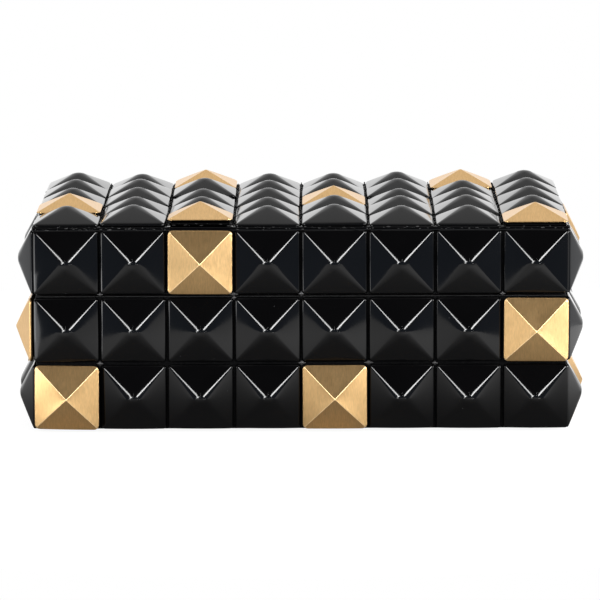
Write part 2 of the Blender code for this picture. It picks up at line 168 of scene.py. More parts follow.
# The paper sweep straight behind the box is a little brighter where it is mirrored
sweep = product(tree, step_between(tree, where["Y"], 0.85, 0.95), below_ceiling)
brightness = value_between(tree, product(tree, sweep, mirrored), 1.0, 1.2)
walls = {"Color": tint(tree, lit, unlit, (1.0, 1.0, 1.0)), "Strength": brightness}
surroundings = node(tree, "ShaderNodeBackground", walls)
node(tree, "ShaderNodeOutputWorld", {"Surface": surroundings.outputs[0]})

TABLE_RADIUS = 0.47
BELOW_FEET = 0.0002
table = bmesh.new()
bmesh.ops.create_circle(table, cap_ends=True, segments=96, radius=TABLE_RADIUS)
table_mesh = bpy.data.meshes.new("table_top")
table.to_mesh(table_mesh)
table.free()
table_top = bpy.data.objects.new("table_top", table_mesh)
table_top.location = (0, 0, -BELOW_FEET)
bpy.context.scene.collection.objects.link(table_top)
table_top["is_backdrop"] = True

# White to the eye. Mirrored, it shows a painted shadow, dark round the box's foot, and painted light,
# brighter further out and to the right.
paper = bpy.data.materials.new("white_paper")
paper.use_nodes = True
tree = paper.node_tree
tree.nodes.clear()
straight, mirrored = kinds_of_ray(tree)
own_place = node(tree, "ShaderNodeTexCoord").outputs["Object"]
place = node(tree, "ShaderNodeSeparateXYZ", {"Vector": own_place}).outputs
middle_out = math_of(tree, "ABSOLUTE", place["X"])
box_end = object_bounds()[1]
beside = product(tree, math_of(tree, "SUBTRACT", middle_out, box_end.x), 0.6)
before = math_of(tree, "SUBTRACT", math_of(tree, "ABSOLUTE", place["Y"]), box_end.y)
away = step_between(tree, math_of(tree, "MAXIMUM", beside, before), 0.0, 0.15)
near_right = value_between(tree, step_between(tree, place["X"], 0.0, 0.15), 1.0, 1.35)
farther = value_between(tree, step_between(tree, before, 0.13, 0.24), near_right, 0.88)
outward = value_between(tree, step_between(tree, middle_out, 0.0, 0.25), 0.72, 1.05)
# The glow that mirrored rays see: painted shadow near the box and painted light further out
painted_shade_and_light_in_gloss = value_between(tree, away, 0.065, product(tree, outward, farther))
lift = total(tree, product(tree, straight, 0.91), product(tree, mirrored, painted_shade_and_light_in_gloss))
glow = node(tree, "ShaderNodeEmission", {"Color": (1, 1, 1, 1), "Strength": lift})
matt = node(tree, "ShaderNodeBsdfDiffuse", {"Color": (0.22, 0.22, 0.22, 1)})
both = node(tree, "ShaderNodeAddShader", {0: glow.outputs[0], 1: matt.outputs[0]})
node(tree, "ShaderNodeOutputMaterial", {"Surface": both.outputs[0]})
table_top.data.materials.append(paper)


def softbox(name, azimuth, elevation, distance, width, height, brightness, roll=0):
    """A rectangular lamp turned to the box, in degrees and metres.

    Azimuth 0 is straight in front and grows to the right.
    """
    lamp = bpy.data.lights.new(name, "AREA")
    lamp.shape = "RECTANGLE"
    lamp.size, lamp.size_y = width, height
    lamp.energy = math.pi * brightness * width * height
    holder = bpy.data.objects.new(name, lamp)
    turn, rise = math.radians(azimuth), math.radians(elevation)
    away = Vector((math.sin(turn) * math.cos(rise), -math.cos(turn) * math.cos(rise), math.sin(rise)))
    holder.location = Vector((0, 0, 0.06)) + away * distance
    own_turn = Matrix.Rotation(math.radians(roll), 3, "Z")
    holder.rotation_euler = (away.to_track_quat("Z", "Y").to_matrix() @ own_turn).to_euler()
    holder.visible_camera = False
    bpy.context.scene.collection.objects.link(holder)


# Each by its azimuth, elevation, distance, width, height and brightness
softbox("strip_box_left", -25.8, 11.4, 2.0, 0.24, 0.86, 30, roll=34)
softbox("strip_box_left_foot", -20.0, 2.7, 2.0, 0.70, 0.18, 20, roll=34)
softbox("strip_box_right", 26.6, 15.6, 2.0, 0.24, 0.84, 42, roll=-45)
softbox("panel_left", -66.5, 2, 2.5, 0.34, 1.40, 5)
softbox("panel_right", 70, 7, 1.3, 0.60, 0.42, 16)
softbox("card_left", -66, -4.7, 0.364, 0.09, 0.05, 3.5)
softbox("overhead", 0, 67, 1.6, 1.0, 0.45, 1.3)

# The studded walls
# Eight mitred boards, four round the base and four round the lid. Each carries rows of black pyramid
# studs, glued on by hand side by side and sprayed with the board in one deep gloss black lacquer.

COLUMN_GROOVE, ROW_GROOVE = 0.0013, 0.0017
GROOVE_DEPTH = 0.0018
WALL_BOARD = 0.0080
MITRE_GAP = 0.0002
BOARD_GAP = 0.0003
ARRIS = 0.0002
SEATED_IN = 0.0001
FROM_SEAM = 0.0007
HALF_WIDTH, HALF_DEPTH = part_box("lid_top_board")[1].x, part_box("lid_top_board")[1].y
COLUMN_PITCH = 2 * HALF_WIDTH / 8
BASE_BOTTOM, BASE_TOP = (corner.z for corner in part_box("base_front_wall"))
LID_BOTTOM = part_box("lid_front_wall")[0].z
ROW_PITCH = (BASE_TOP - BASE_BOTTOM) / 2
# Each wall as seen from outside, its upper row first: b is a black stud and G a gold cap
SCATTER = {
    "base_front": ("bbbbbbbG", "GbbbGbbb"),
    "base_back": ("bbGbbbbb", "bbbbbbGb"),
    "base_left": ("bbbbG", "bGbbb"),
    "base_right": ("bbbbb", "bGbbb"),
    "lid_front": ("bbGbbbbb",),
    "lid_back": ("bbbbbGbb",),
    "lid_left": ("bbbbb",),
    "lid_right": ("bbGbb",),
}
# A wall's own directions in the box: along its rows, up its columns and out of its face
WALL_AXES = {
    "front": (Vector((1, 0, 0)), Vector((0, 0, 1)), Vector((0, -1, 0))),
    "back": (Vector((-1, 0, 0)), Vector((0, 0, 1)), Vector((0, 1, 0))),
    "left": (Vector((0, -1, 0)), Vector((0, 0, 1)), Vector((-1, 0, 0))),
    "right": (Vector((0, 1, 0)), Vector((0, 0, 1)), Vector((1, 0, 0))),
}
# Studs that stand proud of their neighbours, or sunk, as {wall: {(column, row): how far}}
PROUD = {
    "base_left": {(4, 1): 0.0016},
    "lid_left": {(5, 1): 0.0005, (3, 1): 0.0009},
    "base_right": {(2, 2): 0.0007, (1, 1): -0.0005},
}
chance = random.Random(7)


def group(name, inputs, outputs):
    """An empty shader node group, with inputs as {name: default}, and the sockets of its two ends."""
    made = bpy.data.node_groups.new(name, "ShaderNodeTree")
    for label, default in inputs.items():
        kind = "NodeSocketVector" if isinstance(default, tuple) else "NodeSocketFloat"
        made.interface.new_socket(label, in_out="INPUT", socket_type=kind).default_value = default
    for label in outputs:
        made.interface.new_socket(label, in_out="OUTPUT", socket_type="NodeSocketFloat")
    return made, made.nodes.new("NodeGroupInput").outputs, made.nodes.new("NodeGroupOutput").inputs


def use(tree, made, **inputs):
    """Places a node group in a material. An input's name has _ where the group's has a space."""
    placed = tree.nodes.new("ShaderNodeGroup")
    placed.node_tree = made
    for name, value in inputs.items():
        socket = placed.inputs[name.replace("_", " ")]
        if isinstance(value, bpy.types.NodeSocket):
            tree.links.new(value, socket)
        else:
            socket.default_value = value
    return placed.outputs


# Cloudy unevenness, from 0 to 1 about a middle of 0.5
cloudy = {"Place": (0.0, 0.0, 0.0), "Size": 0.01, "Contrast": 1.0}
mottle, given, found = group("Mottle", cloudy, ["Cloud"])
scale = math_of(mottle, "DIVIDE", 1.0, given["Size"])
clouds = node(mottle, "ShaderNodeTexNoise", {"Vector": given["Place"], "Scale": scale, "Detail": 3.0})
centred = product(mottle, math_of(mottle, "SUBTRACT", clouds.outputs["Fac"], 0.5), given["Contrast"])
mottle.links.new(total(mottle, centred, 0.5), found["Cloud"])

# Sparse dots, such as dust caught in a sprayed coat: 1 in a dot and 0 elsewhere
sparse = {"Place": (0.0, 0.0, 0.0), "Spacing": 0.004, "Share": 0.1, "Dot": 0.05}
specks, given, found = group("Specks", sparse, ["Dots"])
scale = math_of(specks, "DIVIDE", 1.0, given["Spacing"])
cells = node(specks, "ShaderNodeTexVoronoi", {"Vector": given["Place"], "Scale": scale})
chosen = node(specks, "ShaderNodeSeparateColor", {"Color": cells.outputs["Color"]}).outputs["Red"]
chosen = math_of(specks, "LESS_THAN", chosen, given["Share"])
inside = math_of(specks, "LESS_THAN", cells.outputs["Distance"], given["Dot"])
specks.links.new(product(specks, chosen, inside), found["Dots"])


def material(name, **constants):
    """A material with plain values set on its shader's sockets; returns it, its tree and its shader."""
    made = bpy.data.materials.new(name)
    made.use_nodes = True
    shader = made.node_tree.nodes["Principled BSDF"]
    for label, value in constants.items():
        shader.inputs[label.replace("_", " ")].default_value = value
    return made, made.node_tree, shader


def finish(tree, shader, colour, roughness, height, strength, depth):
    """Links what changes over the surface. Depth is how far its highest point stands out, in metres."""
    relief = node(tree, "ShaderNodeBump", {"Strength": strength, "Distance": depth, "Height": height})
    tree.links.new(colour, shader.inputs["Base Color"])
    tree.links.new(roughness, shader.inputs["Roughness"])
    tree.links.new(relief.outputs[0], shader.inputs["Normal"])


# Gloss black lacquer: a faint ripple as it dried, specks of dust in it, and duller, worn ridges
lacquer, tree, shader = material("black_lacquer", Metallic=0.0, IOR=1.36)
place = node(tree, "ShaderNodeTexCoord").outputs["Object"]
ridge = node(tree, "ShaderNodeAttribute", attribute_name="ridge").outputs["Fac"]
cloud = use(tree, mottle, Place=place, Size=0.030, Contrast=1.4)["Cloud"]
dust = use(tree, specks, Place=place, Spacing=0.0036, Share=0.05, Dot=0.045)["Dots"]
ripple = use(tree, mottle, Place=place, Size=0.0045, Contrast=1.0)["Cloud"]
black = tint(tree, cloud, (0.0007, 0.0007, 0.0008), (0.0015, 0.0014, 0.0016))
black = tint(tree, dust, black, (0.085, 0.085, 0.088))
dull = total(tree, value_between(tree, cloud, 0.045, 0.085), product(tree, ridge, 0.05))
dull = total(tree, dull, product(tree, dust, 0.3))
height = total(tree, product(tree, ripple, 0.4), dust)
finish(tree, shader, black, dull, height, strength=0.25, depth=0.00004)

# Black glue and thick paint that fill the grooves between the studs, dull and lumpy
groove_fill, tree, shader = material("groove_fill", Metallic=0.0, Specular_IOR_Level=0.03)
place = node(tree, "ShaderNodeTexCoord").outputs["Object"]
lumps = use(tree, mottle, Place=place, Size=0.0016, Contrast=1.8)["Cloud"]
black = tint(tree, lumps, (0.0006, 0.0006, 0.0008), (0.0022, 0.0022, 0.0024))
finish(tree, shader, black, value_between(tree, lumps, 0.75, 0.50), lumps, strength=0.9, depth=0.0004)

# Satin black paint, brushed over the grain of the boards' edges and backs and over some lumps of glue
board_paint, tree, shader = material("black_painted_board", Metallic=0.0, IOR=1.45)
place = node(tree, "ShaderNodeTexCoord").outputs["Object"]
stretched = node(tree, "ShaderNodeMapping", {"Vector": place, "Scale": (0.12, 0.12, 1.0)}).outputs[0]
grain = use(tree, mottle, Place=stretched, Size=0.0010, Contrast=1.8)["Cloud"]
cloud = use(tree, mottle, Place=place, Size=0.020, Contrast=1.2)["Cloud"]
black = tint(tree, cloud, (0.0070, 0.0070, 0.0075), (0.0160, 0.0150, 0.0150))
finish(tree, shader, black, value_between(tree, grain, 0.34, 0.55), grain, strength=0.5, depth=0.00010)


def rounded_ring(half_u, half_v, corner, bow, w, low=0.0, pillow=0.0):
    """A rectangle's outline with rounded corners and slightly bowed sides, anticlockwise, at height w.

    Pillow is how much higher the middle of each side lies than its ends.
    Each point is (u, v, w, how near it is to the middle of a corner, how near it is to the foot).
    """
    corner_steps, side_steps = 6, 6
    points = []
    quarter = math.pi / 2
    for index, (side_u, side_v) in enumerate(((-1, -1), (1, -1), (1, 1), (-1, 1))):
        centre_u, centre_v = side_u * (half_u - corner), side_v * (half_v - corner)
        for step in range(corner_steps + 1):
            angle = math.pi + quarter * (index + step / corner_steps)
            near = 1 - abs(2 * step / corner_steps - 1)
            u, v = centre_u + corner * math.cos(angle), centre_v + corner * math.sin(angle)
            points.append((u, v, w, near, low))
        out_u, out_v = ((0, -1), (1, 0), (0, 1), (-1, 0))[index]
        run = (half_v - corner) if out_u else (half_u - corner)
        for step in range(1, side_steps):
            along = 2 * step / side_steps - 1
            reach = (half_u if out_u else half_v) + bow * (1 - along * along)
            u, v = out_u * reach - out_v * along * run, out_v * reach + out_u * along * run
            points.append((u, v, w + pillow * (1 - along * along), 0.0, low))
    return points


def plain_ring(half_u, half_v, corner, w):
    """A rounded rectangle with straight sides, which counts as neither ridge nor foot."""
    return [(u, v, w, 0.0, 0.0) for u, v, *_ in rounded_ring(half_u, half_v, corner, 0, w)]


def pyramid(halves, rim, rise, edge, lip, foot_corner, ridge_corners, dome, crown, pillow, bow, foot):
    """A pyramid's rings from its foot up, and the tip's height.

    From the foot it has an upright side, a rounded edge, a narrow lip that is a little steeper than the
    slopes, slightly crowned and pillowed slopes between rounded ridges, and a rounded tip.
    """
    mean = (halves[0] + halves[1]) / 2
    slope = math.atan2(rise, mean)
    lip_steeper = math.radians(3.5)
    lip_slope = slope + lip_steeper
    turn = math.pi / 2 - lip_slope
    arc_end = mean - edge + edge * math.cos(turn)
    start = arc_end - lip
    straight_tip = rim + rise
    shoulder = straight_tip - start * math.tan(slope) - lip * math.tan(lip_slope) - edge * math.sin(turn)
    profile = [(mean, foot, 1.0), (mean, shoulder, 1.0)]
    for share in (0.35, 0.7, 1):
        reach = mean - edge + edge * math.cos(turn * share)
        profile.append((reach, shoulder + edge * math.sin(turn * share), 1 - share / 2))
    if lip:
        profile.append((start, straight_tip - start * math.tan(slope), 0.25))
    ball = dome * math.sin(slope)
    for share in (0.08, 0.22, 0.40, 0.60, 0.80, 1):
        reach = start + (ball - start) * share
        profile.append((reach, straight_tip - reach * math.tan(slope), 0.0))
    ball_centre = straight_tip - dome / math.cos(slope)
    for share in (0.84, 0.67, 0.50, 0.33, 0.16):
        reach = ball * share
        profile.append((reach, ball_centre + math.sqrt(dome**2 - reach**2), 0.0))
    # The outer share of the pyramid in which the corners open from a ridge's rounding to the foot's
    opening = 0.08
    rings = []
    for reach, w, low in profile:
        climbed = (start - reach) / start
        swell = 4 * max(climbed, 0) * (1 - climbed) * min(1, reach / ball)
        scale = reach / mean
        near_foot = min(1, max(0, (scale - 1 + opening) / opening))
        ridge_corner = ridge_corners[0] * scale + ridge_corners[1] * (1 - scale)
        corner = ridge_corner + (foot_corner - ridge_corner) * near_foot**2
        corner = min(corner, 0.98 * scale * min(halves))
        size = (halves[0] * scale, halves[1] * scale)
        rings.append(rounded_ring(*size, corner, bow * scale, w + crown * swell, low, pillow * swell))
    return rings, ball_centre + dome


def put_on(place, turn, at=(0, 0, 0), lean=(0, 0), twist=0):
    """A function that says where a piece's own point (u, v, w) lies in the box.

    The piece sits at a spot of a face that has its own place and turn. Lean tips it towards its two
    sides and twist turns it on the face.
    """

    def put(u, v, w):
        tipped = w + lean[0] * u + lean[1] * v
        return place + turn @ Vector((at[0] + u - twist * v, at[1] + v + twist * u, at[2] + tipped))

    return put


def join_rings(points, faces, rings, put):
    """Adds rings of points, with a wall of faces between each two; returns where the end ones start."""
    size = len(rings[0])
    first = len(points)
    for ring in rings:
        points.extend((put(u, v, w), near, low) for u, v, w, near, low in ring)
    for i in range(len(rings) - 1):
        for j in range(size):
            k = (j + 1) % size
            lower, upper = first + i * size, first + (i + 1) * size
            faces.append((lower + j, lower + k, upper + k, upper + j))
    return first, first + (len(rings) - 1) * size


def close_foot(faces, first, size):
    faces.append(tuple(reversed(range(first, first + size))))


def close_head(faces, last, size):
    faces.append(tuple(range(last, last + size)))


def add_tip(points, faces, last, size, put, height):
    points.append((put(0, 0, height), 0.5, 0.0))
    for j in range(size):
        faces.append((last + j, last + (j + 1) % size, len(points) - 1))


def finish_mesh(name, points, faces, materials, slots=None):
    """One piece, shaded smooth with its broad faces kept flat, and masks of its ridges and foot."""
    mesh = bpy.data.meshes.new(name)
    mesh.from_pydata([tuple(point) for point, _, _ in points], [], faces)
    mesh.update()
    for coat in materials:
        mesh.materials.append(coat)
    if slots:
        mesh.polygons.foreach_set("material_index", slots)
    masks = {"ridge": [near for _, near, _ in points], "rim": [low for _, _, low in points]}
    for mask, values in masks.items():
        mesh.attributes.new(mask, "FLOAT", "POINT").data.foreach_set("value", values)
    mesh.shade_smooth()
    normals = [Vector() for _ in mesh.vertices]
    for face in mesh.polygons:
        for corner in face.vertices:
            normals[corner] += face.normal * face.area
    mesh.normals_split_custom_set_from_vertices([normal.normalized() for normal in normals])
    piece = bpy.data.objects.new(name, mesh)
    bpy.context.scene.collection.objects.link(piece)
    return piece


# The materials of a studded board, by their slots
SPRAYED, BRUSHED, FILLED = 0, 1, 2


def add_drop(points, faces, slots, put, radius_u, radius_v, height, slot, web=0.0):
    """A round-topped drop of glue or lacquer, with its middle at its own (0, 0, 0).

    A web draws in its outline between its two axes, down to a four-pointed star.
    """
    around = 16 if web else 8
    rings = []
    # How far out each ring lies and how high, as shares of the drop's own size
    for reach, rise in ((1.0, -0.3), (0.92, 0.35), (0.62, 0.82)):
        ring = []
        for step in range(around):
            angle = 2 * math.pi * step / around
            out = reach * (1 - web * math.sin(2 * angle) ** 2)
            u, v = out * radius_u * math.cos(angle), out * radius_v * math.sin(angle)
            ring.append((u, v, rise * height, 0.0, 0.0))
        rings.append(ring)
    before = len(faces)
    first, last = join_rings(points, faces, rings, put)
    close_foot(faces, first, around)
    add_tip(points, faces, last, around, put, height)
    slots += [slot] * (len(faces) - before)


def groove_dab(points, faces, slots, turn, place, at_u, at_v):
    """A star of painted glue where two grooves cross. Some crossings stayed clean."""
    if chance.random() < 0.35:
        return
    at_u += chance.uniform(-0.0003, 0.0003)
    at_v += chance.uniform(-0.0002, 0.0002)
    size_u, size_v = chance.uniform(0.0014, 0.0030), chance.uniform(0.0012, 0.0018)
    height = chance.uniform(0.0004, 0.0008)
    put = put_on(place, turn, (at_u, at_v, -GROOVE_DEPTH / 2))
    add_drop(points, faces, slots, put, size_u, size_v, height, BRUSHED, web=0.35)


def plinth(points, faces, slots, halves, put):
    """The low black block that a gold cap is glued on, with its upper edge taken off."""
    inset, corner, top = 0.0012, 0.0022, -0.0005
    edge_in, edge_down = 0.0005, 0.0003
    rings = []
    for further, w in ((0, -GROOVE_DEPTH - SEATED_IN), (0, top - edge_down), (edge_in, top)):
        rings.append(plain_ring(halves[0] - inset - further, halves[1] - inset - further, corner, w))
    before = len(faces)
    first, last = join_rings(points, faces, rings, put)
    close_foot(faces, first, len(rings[0]))
    close_head(faces, last, len(rings[0]))
    slots += [FILLED] * (len(faces) - before)


def stud(points, faces, slots, halves, put, raised):
    """One black stud, with its sides down in the groove in the dull groove fill."""
    rings, tip = pyramid(
        halves,
        rim=0.0,
        rise=0.0093 * chance.uniform(0.98, 1.0),
        edge=0.0010,
        lip=0.0006,
        foot_corner=0.0017,
        ridge_corners=(0.0008, 0.0044),
        dome=0.0085,
        crown=0.00010,
        pillow=0.00006,
        bow=0.00016,
        foot=-GROOVE_DEPTH - SEATED_IN - raised,
    )
    before = len(faces)
    first, last = join_rings(points, faces, rings, put)
    size = len(rings[0])
    slots += [FILLED] * size
    close_foot(faces, first, size)
    add_tip(points, faces, last, size, put, tip)
    slots += [SPRAYED] * (len(faces) - before - size)


def cell_middle(column, row, scatter, row_pitch):
    """Where the middle of a cell lies from the middle of its board, counted from the lower left cell."""
    columns, rows = len(scatter[0]), len(scatter)
    return (column - (columns + 1) / 2) * COLUMN_PITCH, (row - (rows + 1) / 2) * row_pitch


def stud_field(points, faces, slots, turn, place, row_pitch, halves, scatter, raised):
    """A stud, or a plinth for a gold cap, on every cell of a board, each a little out of true.

    Raised says how much higher or lower some of them stand, as {(column, row): how far}.
    """
    for row, line in enumerate(reversed(scatter), 1):
        for column, kind in enumerate(line, 1):
            middle_u, middle_v = cell_middle(column, row, scatter, row_pitch)
            at_u = middle_u + chance.uniform(-0.00012, 0.00012)
            at_v = middle_v + chance.uniform(-0.00012, 0.00012)
            lean = (chance.uniform(-0.006, 0.006), chance.uniform(-0.006, 0.006))
            twist = chance.uniform(-0.005, 0.005)
            height = raised.get((column, row), 0.0)
            put = put_on(place, turn, (at_u, at_v, height), lean, twist)
            if kind == "G":
                plinth(points, faces, slots, halves, put)
            else:
                stud(points, faces, slots, halves, put, height)


def board(points, faces, slots, turn, place, outlines, edge_slot):
    """A board under its studs, drawn from its front face backwards: outlines are (half u, half v, w)."""
    rings = [plain_ring(half_u, half_v, 0.0003, w) for half_u, half_v, w in outlines]
    before = len(faces)
    first, last = join_rings(points, faces, rings[::-1], put_on(place, turn))
    close_foot(faces, first, len(rings[0]))
    close_head(faces, last, len(rings[0]))
    slots.extend([edge_slot] * (len(faces) - before - 2) + [BRUSHED, FILLED])


def wall_face(name, rows):
    """A wall's own directions, and the middle of its studded face."""
    body, side = name.split("_")
    turn = Matrix(WALL_AXES[side]).transposed()
    reach = HALF_WIDTH if side in ("left", "right") else HALF_DEPTH
    bottom = BASE_BOTTOM if body == "base" else LID_BOTTOM
    return turn, turn @ Vector((0, 0, reach)) + Vector((0, 0, bottom + rows * ROW_PITCH / 2))


for name, scatter in SCATTER.items():
    body = name.split("_")[0]
    columns, rows = len(scatter[0]), len(scatter)
    turn, place = wall_face(name, rows)
    half_u, half_v = columns * COLUMN_PITCH / 2, rows * ROW_PITCH / 2
    halves = ((COLUMN_PITCH - COLUMN_GROOVE) / 2, (ROW_PITCH - ROW_GROOVE) / 2)
    points, faces, slots = [], [], []
    # The ends are mitred, so the board gets narrower from its front to its back
    long, high = half_u - MITRE_GAP, half_v - BOARD_GAP
    outlines = [
        (long - GROOVE_DEPTH - ARRIS, high - ARRIS, -GROOVE_DEPTH),
        (long - GROOVE_DEPTH - ARRIS, high, -GROOVE_DEPTH - ARRIS),
        (long - WALL_BOARD + 2 * ARRIS, high, -WALL_BOARD + ARRIS),
        (long - WALL_BOARD, high - ARRIS, -WALL_BOARD),
    ]
    board(points, faces, slots, turn, place + Vector((0, 0, BOARD_GAP)), outlines, BRUSHED)
    stud_field(points, faces, slots, turn, place, ROW_PITCH, halves, scatter, PROUD.get(name, {}))
    # No dabs at the box's foot, nor where the top lies on the lid's walls
    lowest = 1 if body == "base" else 0
    for i in range(1, columns):
        for j in range(lowest, rows + lowest):
            at_u, at_v = (i - columns / 2) * COLUMN_PITCH, j * ROW_PITCH - half_v
            # A dab at the lid's seam keeps to its own side of it
            if j == 0:
                at_v += FROM_SEAM
            if j == rows:
                at_v -= FROM_SEAM
            groove_dab(points, faces, slots, turn, place, at_u, at_v)
    wall = finish_mesh(f"{name}_studs", points, faces, [lacquer, board_paint, groove_fill], slots)
    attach(wall, body)
    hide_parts(f"{name}_wall")

# The lid's top
# One board laps over the four lid walls and drops inside them. It carries forty pyramids in five
# rows, glued and sprayed as on the walls.

GLUE_LINE = 0.0003
TOP_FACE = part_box("gold_cap_lid_top_c8_r1")[0].z - GLUE_LINE
TOP_BOARD = TOP_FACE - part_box("lid_top_board")[0].z
TOP_LAP = 0.0023
TOP_ARRIS, LAP_ARRIS = 0.0003, 0.0001
DROP_IN = (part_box("lid_right_lining")[1].x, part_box("lid_back_lining")[1].y)
TOP_SCATTER = ("bbGbbbGb", "bbbbbbbb", "bbbbGbbb", "Gbbbbbbb", "bbGbbbbG")
# How far each stud has sunk, in tenths of a millimetre, back row first
TOP_SETTLE = (
    (6, 14, 1, 13, 13, 5, 3, -1),
    (0, -2, -7, 7, -1, -1, 9, -3),
    (2, -2, 7, 3, 2, 9, 5, -2),
    (-6, 4, 5, 9, -3, 2, -1, 2),
    (6, 1, -7, 8, 0, 9, 8, 2),
)
TOP_RAISED = {}
for row, line in enumerate(reversed(TOP_SETTLE), 1):
    for column, tenths in enumerate(line, 1):
        TOP_RAISED[column, row] = -0.0001 * tenths

level_turn = Matrix.Identity(3)
place = Vector((0, 0, TOP_FACE))
halves = ((COLUMN_PITCH - COLUMN_GROOVE) / 2, (COLUMN_PITCH - COLUMN_GROOVE) / 2)
points, faces, slots = [], [], []
outlines = [
    (HALF_WIDTH - TOP_ARRIS, HALF_DEPTH - TOP_ARRIS, -GROOVE_DEPTH),
    (HALF_WIDTH, HALF_DEPTH, -GROOVE_DEPTH - ARRIS),
    (HALF_WIDTH, HALF_DEPTH, -TOP_LAP + LAP_ARRIS),
    (HALF_WIDTH - LAP_ARRIS, HALF_DEPTH - LAP_ARRIS, -TOP_LAP),
    (*DROP_IN, -TOP_LAP),
    (*DROP_IN, -TOP_BOARD),
]
board(points, faces, slots, level_turn, place, outlines, SPRAYED)
stud_field(points, faces, slots, level_turn, place, COLUMN_PITCH, halves, TOP_SCATTER, TOP_RAISED)
# Small runs of lacquer in the grooves from front to back
RUN_DEPTH = 0.0014
for i in range(1, 8):
    along = -HALF_DEPTH
    while along < HALF_DEPTH - 0.006:
        along += chance.uniform(0.003, 0.009)
        at = ((i - 4) * COLUMN_PITCH + chance.uniform(-0.0002, 0.0002), along, -RUN_DEPTH)
        size_u, size_v = chance.uniform(0.0003, 0.0005), chance.uniform(0.0006, 0.0014)
        height = chance.uniform(0.0005, 0.0010)
        add_drop(points, faces, slots, put_on(place, level_turn, at), size_u, size_v, height, SPRAYED)
top = finish_mesh("lid_top_studs", points, faces, [lacquer, board_paint, groove_fill], slots)
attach(top, "lid")
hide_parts("lid_top_board")

# The glue line under the top
# Black glue that was pressed out all round where the top lies on the walls. It set in lumps between
# the top's edge and the walls' studs and was lacquered or painted over with the rest.

GLUE_STEP = 0.0010
# The glue's surface from the board's edge down, as (how far below the top's face, how far out)
GLUE_PROFILE = (
    (0.0016, -0.0030),
    (0.0017, -0.0008),
    (0.0023, -0.0003),
    (0.0032, 0.0000),
    (0.0041, 0.0000),
    (0.0041, -0.0030),
)
# Points further in than this lie between the boards and stay in line
HIDDEN_IN = -0.0020
# No beads of glue this near a corner
CORNER_FREE = 0.002
points, faces, slots = [], [], []
rings = []
corners = [(-1, -1), (1, -1), (1, 1), (-1, 1)]
for index, (side_x, side_y) in enumerate(corners):
    next_x, next_y = corners[(index + 1) % 4]
    start = Vector((side_x * HALF_WIDTH, side_y * HALF_DEPTH, TOP_FACE))
    end = Vector((next_x * HALF_WIDTH, next_y * HALF_DEPTH, TOP_FACE))
    edge_length = (end - start).length
    along = (end - start).normalized()
    outward = along.cross(Vector((0, 0, 1)))
    count = round(edge_length / GLUE_STEP)
    for step in range(count):
        across = outward if step else outward - along
        ring = []
        for below, out in GLUE_PROFILE:
            at = start.lerp(end, step / count) - Vector((0, 0, below))
            # Lumps about 4 mm wide, with finer ones on them
            lump = 0.00030 * noise.noise(at * 260) + 0.00012 * noise.noise(at * 700)
            ring.append(at + across * (out + lump if out > HIDDEN_IN else out))
        rings.append(ring)
    bead_at = CORNER_FREE
    while bead_at < edge_length - CORNER_FREE:
        at = start + along * bead_at
        # Under the cap that sits high in the front row the glue swelled up, but less far out
        swell = 0.0018 if index == 0 and -2 < at.x / COLUMN_PITCH < -1 else 0.0
        at.z += swell - chance.uniform(0.0018, 0.0032)
        bead_at += chance.uniform(0.0008, 0.0045)
        turned = Matrix((along, Vector((0, 0, 1)), outward)).transposed()
        size_u, size_v = chance.uniform(0.0004, 0.0012), chance.uniform(0.00025, 0.00050)
        height = chance.uniform(0.0003, 0.0007)
        put = put_on(at, turned, (0, 0, -0.0004 - 0.7 * swell))
        add_drop(points, faces, slots, put, size_u, size_v, height, chance.choice((SPRAYED, BRUSHED)))
first = len(points)
points += [(point, 0.0, 0.0) for ring in rings for point in ring]
size = len(GLUE_PROFILE)
for i in range(len(rings)):
    here, there = first + i * size, first + (i + 1) % len(rings) * size
    for k in range(size):
        m = (k + 1) % size
        faces.append((there + k, here + k, here + m, there + m))
        slots.append(SPRAYED)
glue = finish_mesh("lid_top_glue_line", points, faces, [lacquer, board_paint], slots)
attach(glue, "lid")

# The gold caps
# Seventeen hollow pyramids pressed from thin sheet, gold plated and satin brushed, with crisp ridges and
# rounded corners. They are glued into gaps that were left among the black studs.

CAP_SHEET = 0.0008
# How far each cap that sits askew leans to its right and upwards
ASKEW = {"cap_base_front_c1_r1": (0.080, -0.030), "cap_lid_top_c3_r1": (0.0, -0.040)}


def scaled(tree, vector, by):
    """A vector or a colour times a number, or times another vector part by part."""
    return node(tree, "ShaderNodeVectorMath", {0: vector, 1: by}, operation="MULTIPLY").outputs[0]


# Fine lines that run one way, from 0 to 1
fine_lines = {"Place": (0.0, 0.0, 0.0), "Size": 0.0002, "Length": 12.0}
brushing, given, found = group("Brushing", fine_lines, ["Lines"])
squeeze = math_of(brushing, "DIVIDE", 1.0, given["Length"])
shrunk = node(brushing, "ShaderNodeCombineXYZ", {"X": 1.0, "Y": squeeze, "Z": squeeze}).outputs[0]
drawn_out = scaled(brushing, given["Place"], shrunk)
scale = math_of(brushing, "DIVIDE", 1.0, given["Size"])
lines = node(brushing, "ShaderNodeTexNoise", {"Vector": drawn_out, "Scale": scale, "Detail": 2.0})
brushing.links.new(lines.outputs["Fac"], found["Lines"])
